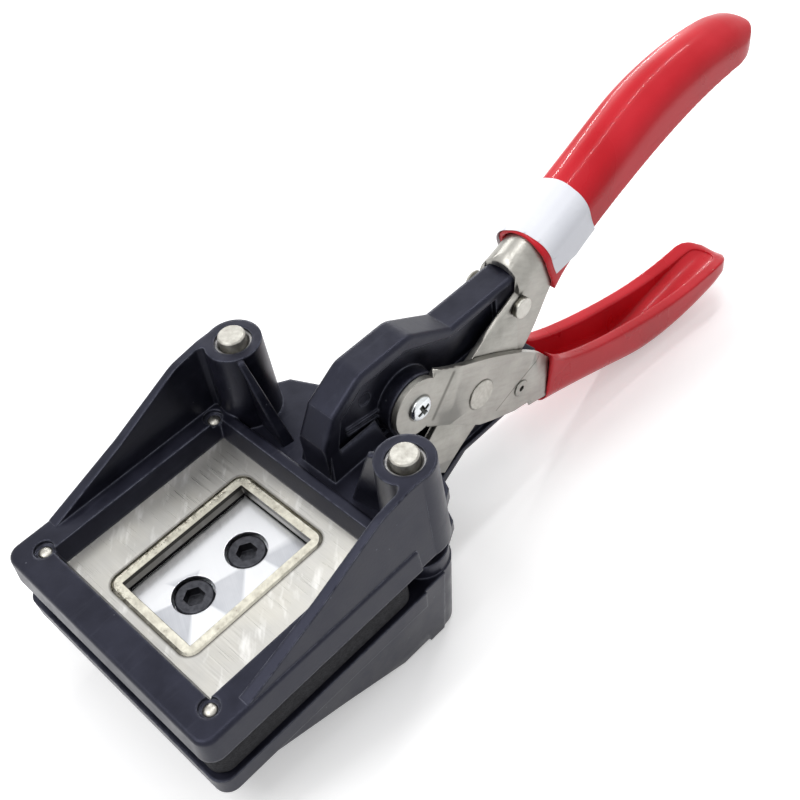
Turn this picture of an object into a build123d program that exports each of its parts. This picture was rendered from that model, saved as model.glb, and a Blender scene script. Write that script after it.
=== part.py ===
from build123d import *
from math import asin, atan2, cos, degrees, hypot, pi, radians, sin, sqrt
import os

# The picture opening: everything in the head follows it
die_width = 22.0
die_length = 32.0
die_thickness = 3.0
ring_border = 2.5
ring_corner = 3.0
ring_depth = 1.2
cut_clearance = 0.05
stroke = 4.0

# Clearances between pieces
press_gap = 0.01
running_gap = 0.05
loose_gap = 0.15
seat_gap = 0.3
overrun = 2.0

# Rim of a jaw: two castings mirror each other about the middle of the gap between them
jaw_gap = 8.2
plate_pocket = 2.0
rim_depth = 4.7
lower_rim_depth = 3.7
rim_half = 32.6
rim_front = -29.2
rim_corner = 3.5
rim_draft = 2.5
rim_round = 0.9
rail_rear = 26.2
side_rail = 8.6
window_front = -20.5
window_rear = 22.0
window_draft = 15.0
plate_lap = 5.6
plate_margin = 2.6
floor_thickness = 3.0
skirt_thickness = 3.0
rib_thickness = 1.8

# Post bosses, and the walls that climb to them
boss_inset = 7.2
boss_y = 32.1
boss_radius = 6.9
boss_rise = 17.05
lower_boss_radius = 6.2
lower_boss_rise = 16.2
lower_draft = 4.2
wall_draft = 1.6
wall_inset = 0.5
wall_start = -18.0
wall_thickness = 3.0
wall_drop = 1.1
wall_bend = 19.5
wall_sag_y = 2.0
wall_sag_rise = 7.7
wall_end = 27.0
wall_round = 10.0

# Flange behind the rim
flange_thickness = 3.0
flange_boss_x = 24.5
flange_boss_rear = 42.8
flange_bend_x = 18.0
flange_bend_rear = 45.8
flange_arm_x = 8.0
flange_arm_rear = 46.6

# Arm of a jaw, heights from the middle plane
arm_half = 4.0
arm_front = 28.7
arm_foot_half = 5.3
arm_foot_height = 16.5
arm_shoulder = 23.1
arm_shoulder_y = 32.5
arm_crest = 28.3
arm_crest_start = 41.2
arm_crest_end = 55.8
arm_tail = 21.0
arm_tail_start = 67.8
arm_end = 94.0
arm_under = 6.6
arm_under_start = 58.0
arm_round = 1.0
arm_rim = 2.0
arm_crest_rim = 3.0
arm_recess = 1.3
arm_corner = 5.0
mark_y = 42.3
mark_height = 19.8
mark_radius = 1.6
mark_depth = 0.3
twin_rib_front = 35.8
twin_rib_rear = 50.2
twin_rib_height = 16.2
twin_rib_rear_height = 13.6
twin_rib_gap = 1.5
twin_rib_thickness = 0.6

# Linkage pivots, heights from the middle plane
front_pivot_y = 52.2
front_pivot_height = 12.0
main_pin_y = 70.7
slide_pin_y = 86.8
slide_pin_height = 14.5
stop_pin_y = 84.0
stop_pin_height = 9.4
pivot_boss_radius = 7.7

# Handles: pressed steel channels with dipped grips
steel = 1.5
arm_side_gap = 0.5
plate_side_gap = 0.4
nose_radius = 7.1
web_radius = 3.4
crest_rise = 42.3
tip_y = 178.0
web_start = 88.0
joggle_start = 90.0
joggle_end = 97.0
web_edge_share = 0.70
plate_shares = ((0.011, -0.104), (0.063, 0.021), (0.137, 0.225), (0.181, 0.293), (0.233, 0.385),
                (0.279, 0.447))
flange_shares = ((0.050, -0.430), (0.107, -0.320), (0.172, -0.215), (0.229, -0.109), (0.311, 0.087),
                 (0.343, 0.210),
                 (0.376, 0.330), (0.452, 0.475), (0.618, 0.652), (0.821, 0.800), (1.000, 0.845))
web_shares = ((0.285, 0.550), (0.340, 0.600), (0.453, 0.719), (0.582, 0.868), (0.646, 0.937), (0.740, 0.990),
              (0.841, 1.000), (0.930, 0.975), (1.000, 0.935))
grip_coat = 1.3
grip_lining = 0.7
upper_grip_front = 96.8
lower_grip_front = 95.0
grip_lean = 12.0
grip_middle = 18.0

# Pins, screws and rivets
pin_radius = 3.0
pin_head_radius = 3.8
pin_head = 0.4
spacer_radius = 4.2
pivot_screw_radius = 2.0
pivot_sleeve_radius = 2.8
pivot_screw_head_radius = 3.0
pivot_screw_head = 1.4
pivot_screw_length = 7.0
pivot_sleeve_head_radius = 3.6
pivot_pin_radius = 2.5
pivot_pin_head_radius = 4.0
pivot_pin_head = 1.0
slide_pin_radius = 1.8
slide_pin_head_radius = 2.6
slide_pin_head = 1.8
stop_pin_radius = 1.5
stop_pin_bore = 0.8
stop_pin_flare = 2.1
stop_pin_flare_height = 0.4
dome_share = 0.7
punch_screw_x = 0.0
punch_screw_y = -0.24
punch_screw_spacing = 14.2
punch_screw_radius = 2.5
punch_screw_head_radius = 4.15
punch_screw_head = 4.4
punch_screw_sink = 0.5
punch_screw_pocket_radius = 4.6
punch_screw_socket = 2.3
punch_screw_socket_depth = 2.4
rivet_inset = 6.0
rivet_front = -22.7
rivet_rear = 22.5
rivet_radius = 1.5
rivet_pocket_radius = 2.2
rivet_pocket_depth = 1.0
rivet_stand = 0.5

# Guide posts and their bushes
post_radius = 3.0
post_stand = 1.8
post_chamfer = 0.35
bush_radius = 4.1
bush_sink = 0.5
bush_mouth = 0.55
collar_radius = 5.9

# Punch, foam and return spring
punch_sink = 3.8
punch_seat = 2.6
foam_inset = 1.0
foam_rear = 24.4
foam_front_round = 4.4
foam_rear_round = 2.5
foam_slit = 0.4
spring_y = 62.0
spring_radius = 2.7
spring_wire = 0.5
spring_turns = 4
spring_bend = 1.2
spring_spigot_height = 2.0

# Paper band round the upper grip
label_start = 98.4
label_length = 14.5
label_thickness = 0.12
label_height = 17.0

# Levels and places worked out from the sizes above
face_z = -plate_pocket
rim_z = rim_depth
boss_z = rim_z + boss_rise
lower_boss_z = lower_rim_depth + lower_boss_rise
mid_z = face_z - jaw_gap / 2
base_z = mid_z - jaw_gap / 2
punch_z = -punch_sink
middle = Plane.XY.offset(mid_z)
flange_z = face_z + flange_thickness
wall_half = rim_half - wall_inset
wall_inside = wall_half - wall_thickness
boss_x = rim_half - boss_inset
window_half = rim_half - side_rail
rivet_x = rim_half - rivet_inset
window_middle = (window_front + window_rear) / 2
plate_half = window_half + plate_lap
plate_front = window_front - plate_lap
plate_rear = rivet_rear + plate_margin
upper_inside = arm_half + arm_side_gap
upper_outside = upper_inside + steel
lower_inside = upper_outside + plate_side_gap
lower_outside = lower_inside + steel
link = hypot(main_pin_y - front_pivot_y, front_pivot_height)
link_angle = asin(front_pivot_height / link)
close_angle = link_angle - asin((front_pivot_height - stroke / 2) / link)
lower_rim_end = 2 * mid_z - lower_rim_depth
lower_boss_end = 2 * mid_z - lower_boss_z
boss_height = boss_z - mid_z
post_places = [(-boss_x, boss_y), (boss_x, boss_y)]
collar_z = face_z - stroke - seat_gap
foam_half = rim_half - foam_inset
screw_seat_z = punch_z - punch_screw_sink - punch_screw_head
rivet_places = [(x, y) for x in (-rivet_x, rivet_x) for y in (rivet_front, rivet_rear)]
screw_places = [(punch_screw_x, punch_screw_y + shift * punch_screw_spacing / 2) for shift in (-1, 1)]
reach = tip_y - front_pivot_y
handle_span = 2 * crest_rise
spring_bottom = mid_z - arm_under
spring_top = mid_z + arm_under
coil_bottom = spring_bottom + 2 * spring_wire + spring_bend
coil_top = spring_top - 2 * spring_wire - spring_bend
coil_sweep = 2 * pi * spring_turns
coil_lead = spring_bend / spring_radius
coil_steps = 4 * spring_turns
gap_steps = 600
coil_step = (coil_sweep - 2 * coil_lead) / coil_steps
foot_rear = front_pivot_y - nose_radius - arm_round
foot_rise = arm_shoulder - arm_foot_height
foot_taper = degrees(atan2(arm_foot_half - arm_half, foot_rise))


def place(side, y, height):
    return (y, mid_z + side * height)


def nose_centre(side):
    return place(side, front_pivot_y, -front_pivot_height)


def spot(side, share, lift=0.0):
    return place(side, front_pivot_y + share[0] * reach, share[1] * crest_rise + lift)


def wall_of(share_list, side, lift):
    return [spot(side, share, lift) for share in share_list]


def swing(point, centre, angle):
    along = point[0] - centre[0]
    up = point[1] - centre[1]
    return (centre[0] + along * cos(angle) - up * sin(angle),
            centre[1] + along * sin(angle) + up * cos(angle))


# Where each slide pin ends up in its jaw when the tool is closed
root_pivot = place(-1, front_pivot_y, front_pivot_height)
screw_pivot = place(1, front_pivot_y, front_pivot_height)
main_rest = place(1, main_pin_y, 0)
main_closed = swing(main_rest, root_pivot, -close_angle)
slide_rest = place(1, slide_pin_y, slide_pin_height)
slide_swung = swing(slide_rest, root_pivot, -close_angle)
slide_closed = (slide_swung[0], slide_swung[1] + stroke)
stop_rest = place(-1, stop_pin_y, stop_pin_height)
stop_swung = swing(stop_rest, main_rest, close_angle)
stop_closed = (stop_swung[0] + main_closed[0] - main_rest[0], stop_swung[1] + main_closed[1] - main_rest[1])


def jaw_blank(rim_top, boss_top, boss_size, draft):
    """A jaw before its holes, the way up of the upper one."""
    with BuildPart() as rim:
        with BuildSketch(Plane.XY.offset(face_z)) as plan:
            with BuildLine():
                Polyline((-rim_half, rail_rear), (-rim_half, rim_front), (rim_half, rim_front),
                         (rim_half, rail_rear), close=True)
            make_face()
            fillet(plan.vertices().group_by(Axis.Y)[0], rim_corner)
        extrude(amount=rim_top - face_z, taper=rim_draft)
        fillet(rim.edges().group_by(Axis.Z)[-1], rim_round)
    with BuildPart() as walls:
        with BuildSketch(Plane.XY.offset(face_z)) as plan:
            corners = [(wall_half, wall_start), (wall_half, boss_y), (boss_x, boss_y),
                       (wall_inside, boss_y - boss_size), (wall_inside, wall_start)]
            for side in (1, -1):
                with BuildLine():
                    Polyline(*[(side * x, y) for x, y in corners[::side]], close=True)
                make_face()
            with Locations(*post_places):
                Circle(boss_size)
        extrude(amount=boss_top - face_z, taper=draft)
        with BuildSketch(Plane.YZ):
            with BuildLine():
                top = FilletPolyline((wall_start, rim_top), (wall_sag_y, rim_top + wall_sag_rise),
                                     (wall_bend, boss_top - wall_drop),
                                     (wall_end, boss_top), (boss_y, boss_top), radius=wall_round)
                Polyline(top @ 1, (boss_y, boss_top + overrun), (wall_start - overrun, boss_top + overrun),
                         (wall_start - overrun, rim_top), top @ 0)
            make_face()
        extrude(amount=rim_half + overrun, both=True, mode=Mode.SUBTRACT)
    with BuildPart() as arm:
        with BuildSketch(Plane.YZ) as profile:
            with BuildLine():
                Polyline(place(1, arm_front, face_z - mid_z), place(1, arm_front, arm_foot_height),
                         place(1, arm_shoulder_y, arm_shoulder),
                         place(1, arm_crest_start, arm_crest), place(1, arm_crest_end, arm_crest),
                         place(1, arm_tail_start, arm_tail),
                         place(1, arm_end, arm_tail), place(1, arm_end, arm_under),
                         place(1, arm_under_start, arm_under),
                         place(1, arm_under_start - arm_under / 2, face_z - mid_z), close=True)
            make_face()
            fillet(profile.vertices().group_by(Axis.Y)[-1], arm_corner)
        extrude(amount=arm_half, both=True)
        outer_edges = arm.edges().filter_by(Axis.X, reverse=True)
        fillet(outer_edges.filter_by(lambda e: e.center().Z > mid_z + arm_foot_height), arm_round)
    with BuildPart() as blank:
        add(rim.part)
        add(walls.part)
        with BuildSketch(Plane.XY.offset(face_z)) as plan:
            with BuildLine():
                right = [(boss_x + boss_size / 2, boss_y + boss_size / 2), (flange_boss_x, flange_boss_rear),
                         (flange_bend_x, flange_bend_rear), (flange_arm_x, flange_arm_rear)]
                left = [(-x, y) for x, y in reversed(right)]
                Polyline((wall_inside, window_rear), *right, *left, (-wall_inside, window_rear), close=True)
            make_face()
        extrude(amount=flange_thickness)
        add(arm.part)
        with BuildSketch(Plane.XY.offset(flange_z)):
            with Locations((0, (arm_front + foot_rear) / 2)):
                Rectangle(2 * arm_foot_half, foot_rear - arm_front)
        extrude(amount=foot_rise, taper=foot_taper)
    return blank.part


def arm_pockets(side):
    for cheek in (-1, 1):
        with BuildSketch(Plane.YZ.offset(cheek * arm_half)) as pocket:
            with BuildLine():
                Polyline(place(side, arm_shoulder_y, arm_foot_height - arm_rim),
                         place(side, arm_shoulder_y + arm_rim, arm_shoulder - arm_rim),
                         place(side, arm_crest_start, arm_crest - arm_crest_rim),
                         place(side, arm_crest_end - arm_rim, arm_crest - arm_crest_rim),
                         place(side, arm_tail_start - arm_rim / 2, arm_tail - arm_rim),
                         place(side, web_start, arm_tail - arm_rim),
                         place(side, web_start, arm_under + arm_rim),
                         place(side, arm_under_start + arm_rim, arm_under + arm_rim),
                         place(side, flange_arm_rear, arm_under + arm_rim / 2),
                         place(side, arm_shoulder_y, arm_under + arm_rim), close=True)
            make_face()
            fillet(pocket.vertices(), arm_round)
            with Locations(place(side, (slide_pin_y + arm_end) / 2, (arm_tail + arm_under) / 2)):
                Rectangle(arm_end - slide_pin_y + 2 * arm_corner, arm_tail, mode=Mode.SUBTRACT)
        extrude(pocket.sketch, amount=-cheek * arm_recess, mode=Mode.SUBTRACT)
        with BuildSketch(Plane.YZ.offset(cheek * (arm_half - arm_recess))) as ribs:
            for shift in (0, twin_rib_gap):
                with BuildLine():
                    Polyline(place(side, twin_rib_front, twin_rib_height - shift),
                             place(side, twin_rib_rear, twin_rib_rear_height - shift),
                             place(side, twin_rib_rear, twin_rib_rear_height - shift - twin_rib_thickness),
                             place(side, twin_rib_front, twin_rib_height - shift - twin_rib_thickness),
                             close=True)
                make_face()
        extrude(ribs.sketch, amount=cheek * twin_rib_thickness)
        with BuildSketch(Plane.YZ.offset(cheek * (arm_half - arm_recess))) as mark:
            with Locations(place(side, mark_y, mark_height)):
                Circle(mark_radius)
        extrude(mark.sketch, amount=-cheek * mark_depth, mode=Mode.SUBTRACT)


def post_holes(radius):
    with BuildSketch(middle) as holes:
        with Locations(*post_places):
            Circle(radius)
    extrude(holes.sketch, amount=boss_height + overrun, both=True, mode=Mode.SUBTRACT)


def spring_spigot(side):
    with BuildSketch(Plane.XY.offset(mid_z + side * arm_under)) as spigot:
        with Locations((0, spring_y)):
            Circle(spring_radius - spring_wire - loose_gap)
    extrude(spigot.sketch, amount=-side * spring_spigot_height)


def cross_hole(centre, radius, half, mode=Mode.SUBTRACT):
    with BuildSketch(Plane.YZ) as disc:
        with Locations(centre):
            Circle(radius)
    extrude(disc.sketch, amount=half, both=True, mode=mode)


def cross_slot(start, end, radius, half):
    with BuildSketch(Plane.YZ) as slot:
        SlotCenterPoint(((start[0] + end[0]) / 2, (start[1] + end[1]) / 2), end, 2 * radius)
    extrude(slot.sketch, amount=half, both=True, mode=Mode.SUBTRACT)


def drafted_window(bottom, height, taper):
    with BuildSketch(Plane.XY.offset(bottom)) as window:
        with Locations((0, window_middle)):
            Rectangle(2 * window_half, window_rear - window_front)
    extrude(window.sketch, amount=height, taper=taper, mode=Mode.SUBTRACT)


upper_blank = jaw_blank(rim_z, boss_z, boss_radius, wall_draft)
lower_blank = mirror(jaw_blank(lower_rim_depth, lower_boss_z, lower_boss_radius, lower_draft), about=middle)

with BuildPart() as upper_jaw:
    add(upper_blank)
    arm_pockets(1)
    post_holes(bush_radius)
    spring_spigot(1)
    cross_hole(place(1, front_pivot_y, front_pivot_height), pivot_boss_radius, lower_inside - running_gap,
               Mode.ADD)
    cross_hole(place(1, front_pivot_y, front_pivot_height), pivot_sleeve_radius + loose_gap, lower_inside)
    cross_slot(slide_rest, slide_closed, slide_pin_radius + loose_gap, arm_half)
    drafted_window(0, rim_z + overrun, -window_draft)
    with BuildSketch(Plane.XY.offset(face_z)):
        with Locations((0, (plate_front + plate_rear) / 2)):
            Rectangle(2 * plate_half, plate_rear - plate_front)
    extrude(amount=plate_pocket, mode=Mode.SUBTRACT)
    with Locations((0, 0, rim_z)):
        with Locations(*rivet_places):
            CounterBoreHole(rivet_radius + press_gap, rivet_pocket_radius, rivet_pocket_depth, depth=rim_z)

with BuildPart() as lower_jaw:
    add(lower_blank)
    arm_pockets(-1)
    with BuildSketch(Plane.XY.offset(base_z)):
        with Locations(*post_places):
            Circle(collar_radius)
    extrude(amount=collar_z - base_z)
    post_holes(post_radius + press_gap)
    spring_spigot(-1)
    cross_hole(root_pivot, pivot_boss_radius, upper_inside - running_gap, Mode.ADD)
    cross_hole(root_pivot, pivot_pin_radius + press_gap, lower_inside)
    cross_slot(stop_rest, stop_closed, stop_pin_radius + loose_gap, arm_half)
    with BuildSketch(Plane.XY.offset(base_z - floor_thickness)) as hollow:
        with Locations((0, window_middle)):
            Rectangle(2 * (rim_half - skirt_thickness), window_rear - window_front + skirt_thickness)
        Rectangle(die_width + 2 * rib_thickness, die_length + 2 * rib_thickness, mode=Mode.SUBTRACT)
        for turn in (0, 90):
            with Locations(Rotation(0, 0, turn)):
                Rectangle(2 * rim_half, rib_thickness, mode=Mode.SUBTRACT)
    extrude(amount=-rim_depth, mode=Mode.SUBTRACT)
    with BuildSketch(Plane.XY.offset(base_z)):
        Rectangle(die_width, die_length)
    extrude(amount=-punch_seat, mode=Mode.SUBTRACT)
    with BuildSketch(Plane.XY.offset(base_z)):
        with Locations((punch_screw_x, punch_screw_y)):
            with GridLocations(0, punch_screw_spacing, 1, 2):
                Circle(punch_screw_radius + press_gap)
    extrude(amount=-lower_rim_depth - plate_pocket, mode=Mode.SUBTRACT)


def ring_sketch(plane, outer_grow):
    with BuildSketch(plane) as ring:
        RectangleRounded(die_width + 2 * (ring_border + outer_grow),
                         die_length + 2 * (ring_border + outer_grow), ring_corner + outer_grow)
        Rectangle(die_width, die_length, mode=Mode.SUBTRACT)
    return ring.sketch


with BuildPart() as die_plate:
    with BuildSketch(Plane.XY.offset(-die_thickness)):
        with Locations((0, (plate_front + plate_rear) / 2)):
            Rectangle(2 * (plate_half - running_gap), plate_rear - plate_front - 2 * running_gap)
        Rectangle(die_width, die_length, mode=Mode.SUBTRACT)
        with Locations(*rivet_places):
            Circle(rivet_radius + press_gap, mode=Mode.SUBTRACT)
    extrude(amount=die_thickness)
    extrude(ring_sketch(Plane.XY, press_gap), amount=-ring_depth, mode=Mode.SUBTRACT)

with BuildPart() as die_ring:
    extrude(ring_sketch(Plane.XY, 0), amount=-ring_depth)

with BuildPart() as die_rivets:
    with BuildSketch(Plane.XY.offset(-die_thickness)):
        with Locations(*rivet_places):
            Circle(rivet_radius)
    extrude(amount=die_thickness + rim_z - rivet_pocket_depth + rivet_stand)
    chamfer(die_rivets.edges().group_by(Axis.Z)[-1], rivet_stand / 2)

with BuildPart() as punch_block:
    with BuildSketch(Plane.XY.offset(base_z - punch_seat)):
        Rectangle(die_width - 2 * cut_clearance, die_length - 2 * cut_clearance)
    extrude(amount=punch_z - base_z + punch_seat)
    with Locations((punch_screw_x, punch_screw_y, punch_z)):
        with GridLocations(0, punch_screw_spacing, 1, 2):
            CounterBoreHole(punch_screw_radius + loose_gap, punch_screw_pocket_radius,
                            punch_screw_sink + punch_screw_head)

with BuildPart() as punch_screws:
    with BuildSketch(Plane.XY.offset(lower_rim_end)):
        with Locations(*screw_places):
            Circle(punch_screw_radius)
    extrude(amount=screw_seat_z - lower_rim_end)
    with BuildSketch(Plane.XY.offset(screw_seat_z)):
        with Locations(*screw_places):
            Circle(punch_screw_head_radius)
    extrude(amount=punch_screw_head)
    chamfer(punch_screws.edges().group_by(Axis.Z)[-1], post_chamfer)
    with BuildSketch(Plane.XY.offset(screw_seat_z + punch_screw_head)):
        with Locations(*screw_places):
            RegularPolygon(punch_screw_socket, 6)
    extrude(amount=-punch_screw_socket_depth, mode=Mode.SUBTRACT)

with BuildPart() as foam_pad:
    with BuildSketch(Plane.XY.offset(base_z)) as plan:
        with BuildLine():
            Polyline((-foam_half, foam_rear), (-foam_half, rim_front + foam_inset),
                     (foam_half, rim_front + foam_inset), (foam_half, foam_rear), close=True)
        make_face()
        fillet(plan.vertices().group_by(Axis.Y)[0], foam_front_round)
        fillet(plan.vertices().group_by(Axis.Y)[-1], foam_rear_round)
        Rectangle(die_width + 2 * foam_slit, die_length + 2 * foam_slit, mode=Mode.SUBTRACT)
    extrude(amount=punch_z - base_z)

posts = {}
bushes = {}
for name, x in (("left", -boss_x), ("right", boss_x)):
    with BuildPart() as post:
        with BuildSketch(Plane.XY.offset(lower_boss_end)):
            with Locations((x, boss_y)):
                Circle(post_radius)
        extrude(amount=boss_z + post_stand - lower_boss_end)
        chamfer(post.edges().group_by(Axis.Z)[-1], post_chamfer)
        chamfer(post.edges().group_by(Axis.Z)[0], post_chamfer)
    posts[name] = post.part
    with BuildPart() as bush:
        with BuildSketch(Plane.XY.offset(face_z)):
            with Locations((x, boss_y)):
                Circle(bush_radius - press_gap)
                Circle(post_radius + running_gap, mode=Mode.SUBTRACT)
        extrude(amount=boss_z - bush_sink - face_z)
        chamfer(bush.edges().group_by(Axis.Z)[-1].sort_by(SortBy.LENGTH)[0], bush_mouth)
    bushes[name] = bush.part


def side_view(side, grow):
    """The outline of a handle seen from the side, grown by a coat along its web and flanges."""
    with BuildSketch(Plane.YZ) as outline:
        with BuildLine():
            flange = Spline(*wall_of(flange_shares, side, -grow))
            web = Spline(*wall_of(web_shares, side, grow))
            Line(flange @ 1, web @ 1)
            Polyline(web @ 0, *wall_of(reversed(plate_shares), side, 0), nose_centre(side), flange @ 0)
        make_face()
        with Locations(nose_centre(side)):
            Circle(nose_radius)
    return outline.sketch


def hull(side, half, grow):
    """The solid that a channel handle fills."""
    with BuildPart() as body:
        extrude(side_view(side, grow), amount=half, both=True)
        long_edges = body.edges().filter_by(GeomType.BSPLINE)
        fillet(long_edges.filter_by(lambda e: side * (e.center().Z - mid_z) > web_edge_share * crest_rise),
               web_radius)
        extrude(tongue(half, tip_y - upper_outside - grip_coat + half), amount=handle_span, both=True,
                mode=Mode.INTERSECT)
    return body.part


def tongue(half, end):
    """A round-ended strip seen from above."""
    with BuildSketch(middle) as strip:
        with BuildLine():
            sides = Polyline((-half, end - half), (-half, window_rear), (half, window_rear),
                             (half, end - half))
            ThreePointArc(sides @ 1, (0, end), sides @ 0)
        make_face()
    return strip.sketch


def cavity(side, half, inset):
    """The hollow of a channel handle: open in front of the web and towards the other handle."""
    with BuildPart() as hollow:
        with BuildSketch(Plane.YZ):
            with BuildLine():
                web = Spline(*wall_of(web_shares, side, -inset))
                Polyline(web @ 1, place(side, tip_y, -handle_span),
                         place(side, window_rear, -handle_span), place(side, window_rear, handle_span),
                         place(side, web_start, handle_span), web @ 0)
            make_face()
        extrude(amount=half, both=True)
        long_edges = hollow.edges().filter_by(GeomType.BSPLINE)
        fillet(long_edges, web_radius - inset)
        extrude(tongue(half, tip_y - upper_outside - grip_coat + half), amount=2 * handle_span, both=True,
                mode=Mode.INTERSECT)
    return hollow.part


def leaning_plane(side, y):
    """A cross plane that leans with the front edge of the grips."""
    return Plane(origin=(0, *place(side, y, grip_middle)),
                 z_dir=(0, cos(radians(grip_lean)), side * sin(radians(grip_lean))))


def dipped_grip(side, front, channel):
    """A coat round the rear of a channel, outside and in."""
    with BuildPart() as grip:
        add(grip_hulls[side])
        split(bisect_by=leaning_plane(side, front), keep=Keep.TOP)
        add(linings[side], mode=Mode.SUBTRACT)
        add(channel, mode=Mode.SUBTRACT)
    return grip.part


hulls = {side: hull(side, upper_outside, 0) for side in (1, -1)}
grip_hulls = {side: hull(side, upper_outside + grip_coat, grip_coat) for side in (1, -1)}
cavities = {side: cavity(side, upper_inside, steel) for side in (1, -1)}
linings = {side: cavity(side, upper_inside - grip_lining, steel + grip_lining) for side in (1, -1)}

with BuildPart() as upper_handle:
    add(hulls[1])
    add(cavities[1], mode=Mode.SUBTRACT)
    cross_hole(root_pivot, pivot_pin_radius + running_gap, upper_outside + overrun)
    cross_hole(main_rest, pin_radius + press_gap, upper_outside + overrun)
    cross_hole(slide_rest, slide_pin_radius + press_gap, upper_outside + overrun)

with BuildPart() as cheeks:
    add(hull(-1, lower_outside, 0))
    with BuildSketch(middle) as strips:
        for hand in (-1, 1):
            with BuildLine():
                outer = [(lower_outside, window_rear), (lower_outside, joggle_start),
                         (upper_outside, joggle_end)]
                inner = [(upper_inside, joggle_end), (lower_inside, joggle_start),
                         (lower_inside, window_rear)]
                Polyline(*[(hand * x, y) for x, y in outer + inner], close=True)
            make_face()
    extrude(strips.sketch, amount=handle_span, both=True, mode=Mode.INTERSECT)

with BuildPart() as lower_handle:
    add(hulls[-1])
    add(cavities[-1], mode=Mode.SUBTRACT)
    split(bisect_by=Plane(origin=(0, joggle_end, 0), z_dir=(0, 1, 0)), keep=Keep.TOP)
    add(cheeks.part)
    cross_hole(screw_pivot, pivot_sleeve_radius + press_gap, lower_outside + overrun)
    cross_hole(main_rest, pin_radius + running_gap, lower_outside + overrun)
    cross_hole(stop_rest, stop_pin_radius + press_gap, lower_outside + overrun)

upper_grip = dipped_grip(1, upper_grip_front, upper_handle.part)
lower_grip = dipped_grip(-1, lower_grip_front, lower_handle.part)

with BuildPart() as size_label:
    add(hull(1, upper_outside + grip_coat + label_thickness, grip_coat + label_thickness))
    split(bisect_by=leaning_plane(1, label_start), keep=Keep.TOP)
    split(bisect_by=leaning_plane(1, label_start + label_length), keep=Keep.BOTTOM)
    split(bisect_by=Plane.XY.offset(mid_z + label_height), keep=Keep.TOP)
    add(grip_hulls[1], mode=Mode.SUBTRACT)


def cross_rod(centre, radius, start, end):
    """A round bar across the tool from one distance off the middle to another."""
    with BuildSketch(Plane.YZ.offset(start)) as disc:
        with Locations(centre):
            Circle(radius)
    extrude(disc.sketch, amount=end - start)


def end_rims(pin, count=2):
    """The outermost round edges of a cross pin."""
    return pin.edges().filter_by(GeomType.CIRCLE).sort_by(lambda e: abs(e.center().X))[-count:]


with BuildPart() as main_pin:
    cross_rod(main_rest, pin_radius, -lower_outside, lower_outside)
    for hand in (-1, 1):
        cross_rod(main_rest, pin_head_radius, hand * lower_outside, hand * (lower_outside + pin_head))
    fillet(end_rims(main_pin), pin_head * dome_share)

with BuildPart() as pivot_spacer:
    cross_rod(main_rest, spacer_radius, running_gap - upper_inside, upper_inside - running_gap)
    cross_hole(main_rest, pin_radius + press_gap, upper_inside)

with BuildPart() as jaw_pivot_pin:
    cross_rod(root_pivot, pivot_pin_radius, -upper_outside, upper_outside)
    for hand in (-1, 1):
        cross_rod(root_pivot, pivot_pin_head_radius, hand * (upper_outside + running_gap),
                  hand * (upper_outside + running_gap + pivot_pin_head))
        cross_rod(root_pivot, pivot_pin_radius, hand * upper_outside, hand * (upper_outside + running_gap))
    fillet(end_rims(jaw_pivot_pin), pivot_pin_head * dome_share)

with BuildPart() as pivot_sleeve:
    cross_rod(screw_pivot, pivot_sleeve_radius, -lower_outside, lower_outside)
    cross_rod(screw_pivot, pivot_sleeve_head_radius, -lower_outside, -lower_outside - pivot_screw_head)
    fillet(end_rims(pivot_sleeve, 1), pivot_screw_head * dome_share)
    cross_bore = Plane.YZ.offset(lower_outside)
    with BuildSketch(cross_bore):
        with Locations(screw_pivot):
            Circle(pivot_screw_radius + press_gap)
    extrude(amount=-pivot_screw_length, mode=Mode.SUBTRACT)

with BuildPart() as pivot_screw:
    cross_rod(screw_pivot, pivot_screw_radius, lower_outside - pivot_screw_length, lower_outside)
    cross_rod(screw_pivot, pivot_screw_head_radius, lower_outside, lower_outside + pivot_screw_head)
    fillet(end_rims(pivot_screw, 1), pivot_screw_head * dome_share)

with BuildPart() as slide_pin:
    cross_rod(slide_rest, slide_pin_radius, -upper_outside, upper_outside)
    for hand in (-1, 1):
        cross_rod(slide_rest, slide_pin_head_radius, hand * upper_outside,
                  hand * (upper_outside + slide_pin_head))
    fillet(end_rims(slide_pin), slide_pin_radius * dome_share)

with BuildPart() as stop_rivet:
    cross_rod(stop_rest, stop_pin_radius, -lower_outside, lower_outside)
    for hand in (-1, 1):
        cross_rod(stop_rest, stop_pin_flare, hand * lower_outside,
                  hand * (lower_outside + stop_pin_flare_height))
    fillet(end_rims(stop_rivet), stop_pin_flare_height * dome_share)
    cross_hole(stop_rest, stop_pin_bore, lower_outside + overrun)


def coil_point(angle):
    """A point of the coil and its direction there, for a turn angle in radians."""
    rise = (coil_top - coil_bottom) / coil_sweep
    point = Vector(spring_radius * cos(angle), spring_y + spring_radius * sin(angle),
                   coil_bottom + rise * angle)
    return point, Vector(-spring_radius * sin(angle), spring_radius * cos(angle), rise).normalized()


def biarc(start, start_way, end, end_way):
    """Two arcs that leave one point and reach another along the given directions."""
    chord = end - start
    both = start_way + end_way
    square = 2 * (1 - start_way.dot(end_way))
    reach_out = (sqrt(chord.dot(both) ** 2 + square * chord.dot(chord)) - chord.dot(both)) / square
    ahead = start + start_way * reach_out
    behind = end - end_way * reach_out
    joint = (ahead + behind) / 2
    TangentArc(start, joint, tangent=start_way)
    TangentArc(joint, end, tangent=(behind - ahead).normalized())


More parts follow.
